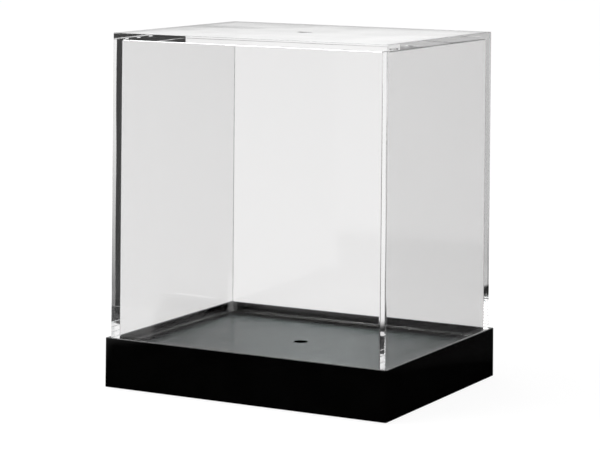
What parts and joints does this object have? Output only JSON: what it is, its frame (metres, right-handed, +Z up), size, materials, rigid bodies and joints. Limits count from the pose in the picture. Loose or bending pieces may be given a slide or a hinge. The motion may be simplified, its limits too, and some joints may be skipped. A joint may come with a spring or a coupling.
{
  "type": "display case",
  "caption": "Tabletop display case: a clear one-piece moulded cover that stands inside the rim of a black tray base and lifts off it.",
  "frame": {"origin": "middle of the case's footprint, on the surface that its feet stand on", "axes": "+X along the wide front towards the right as seen from the front, +Y towards the back, +Z up; the front faces -Y"},
  "size_m": [0.1504, 0.1196, 0.1704],
  "materials": {
    "clear_acrylic": "polished, clear",
    "black_tray": "glossy sides, fine satin floor",
    "rubber_foot": "matt"
  },
  "bodies": {
    "base": {"base": "black_tray", "foot_front_left": "rubber_foot", "foot_front_right": "rubber_foot", "foot_back_left": "rubber_foot", "foot_back_right": "rubber_foot"},
    "cover": {"cover": "clear_acrylic"}
  },
  "joints": [
    {"name": "cover_lift", "type": "slide", "parent": "base", "child": "cover", "axis": [0, 0, 1], "range_m": [0, 0.16]}
  ]
}
